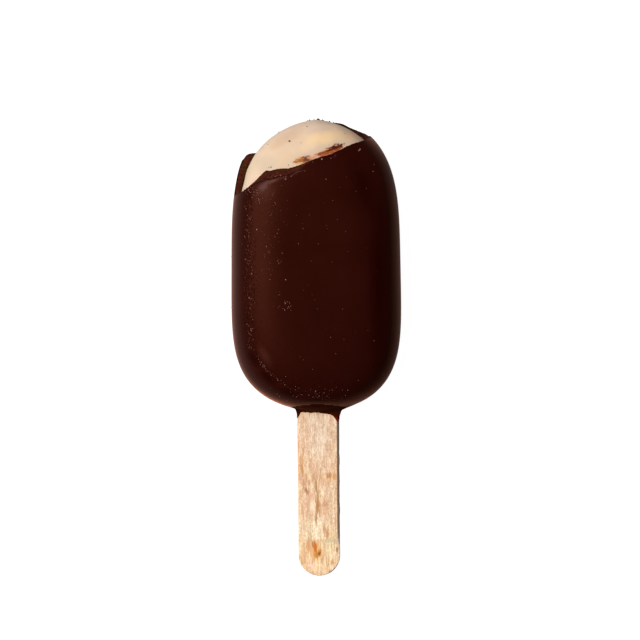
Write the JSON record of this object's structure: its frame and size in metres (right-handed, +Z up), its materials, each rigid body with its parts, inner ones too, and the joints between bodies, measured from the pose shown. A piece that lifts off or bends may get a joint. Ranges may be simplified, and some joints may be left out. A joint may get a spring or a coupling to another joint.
{
  "type": "ice cream bar",
  "caption": "Ice cream bar on a flat wooden stick: a rounded moulded core in a dark chocolate coating that is broken away at the top over a smooth pale dome, lying on its back.",
  "frame": {"origin": "on the surface the bar lies on, under the middle of its whole length and width", "axes": "+X across the bar, +Y along it from the stick's tip to the broken end, +Z up out of the face that shows"},
  "size_m": [0.045, 0.1208, 0.0246],
  "materials": {
    "chocolate_coating": "dark chocolate, satin, with fine bubbles along the edge of its face",
    "ice_cream": "smooth pale vanilla ice cream, slightly soft and damp",
    "stick": "plain sanded birch, unvarnished, with short brown flecks"
  },
  "bodies": {
    "root": {"chocolate_coating": "chocolate_coating", "ice_cream": "ice_cream", "stick": "stick"}
  },
  "joints": []
}
